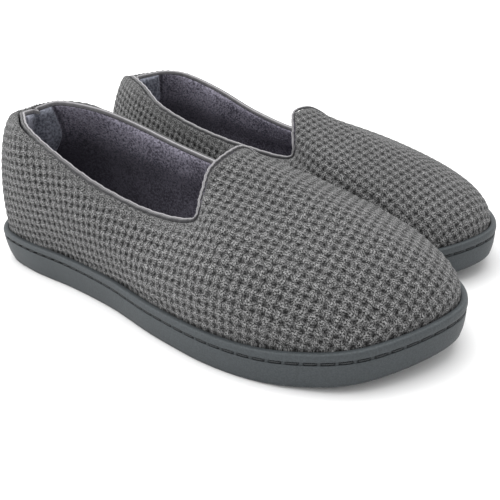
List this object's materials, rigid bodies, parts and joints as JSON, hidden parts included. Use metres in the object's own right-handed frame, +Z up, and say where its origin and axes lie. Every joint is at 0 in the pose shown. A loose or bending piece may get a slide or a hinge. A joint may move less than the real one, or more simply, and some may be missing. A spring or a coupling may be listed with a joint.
{
  "type": "spa slippers",
  "caption": "A pair of slip-on closed-heel slippers: grey waffle-knit upper with raised tongue, piped collar, velour lining and moulded rubber cup sole",
  "frame": {"origin": "on the floor, under the middle of the pair's bounding box", "axes": "+X to the toes, +Y to the wearer's left, +Z up"},
  "size_m": [0.2816, 0.2114, 0.0835],
  "materials": {
    "sole_rubber": "satin moulded rubber, blue grey",
    "thread": "waxed polyester thread",
    "eva_foam": "closed-cell foam, matt",
    "fibre_board": "pressed fibre board",
    "memory_foam": "open-cell foam, matt",
    "lining_velour": "brushed velour, dark violet grey",
    "knit": "waffle knit, mid grey",
    "grip_plush": "plush pile, blue grey",
    "piping": "folded knit strip, light grey"
  },
  "bodies": {
    "right_slipper": {"right_outsole": "sole_rubber", "right_sole_stitch": "thread", "right_midsole": "eva_foam", "right_insole_board": "fibre_board", "right_footbed": "memory_foam", "right_sock_liner": "lining_velour", "right_knit_upper": "knit", "right_heel_counter": "fibre_board", "right_toe_puff": "fibre_board", "right_collar_foam": "memory_foam", "right_quarter_lining": "lining_velour", "right_vamp_lining": "lining_velour", "right_heel_grip": "grip_plush", "right_collar_piping": "piping"},
    "left_slipper": {"left_outsole": "sole_rubber", "left_sole_stitch": "thread", "left_midsole": "eva_foam", "left_insole_board": "fibre_board", "left_footbed": "memory_foam", "left_sock_liner": "lining_velour", "left_knit_upper": "knit", "left_heel_counter": "fibre_board", "left_toe_puff": "fibre_board", "left_collar_foam": "memory_foam", "left_quarter_lining": "lining_velour", "left_vamp_lining": "lining_velour", "left_heel_grip": "grip_plush", "left_collar_piping": "piping"}
  },
  "joints": [
    {"name": "left_slipper_lift", "type": "slide", "parent": "right_slipper", "child": "left_slipper", "axis": [0, 0, 1], "range_m": [0, 0.25]}
  ]
}
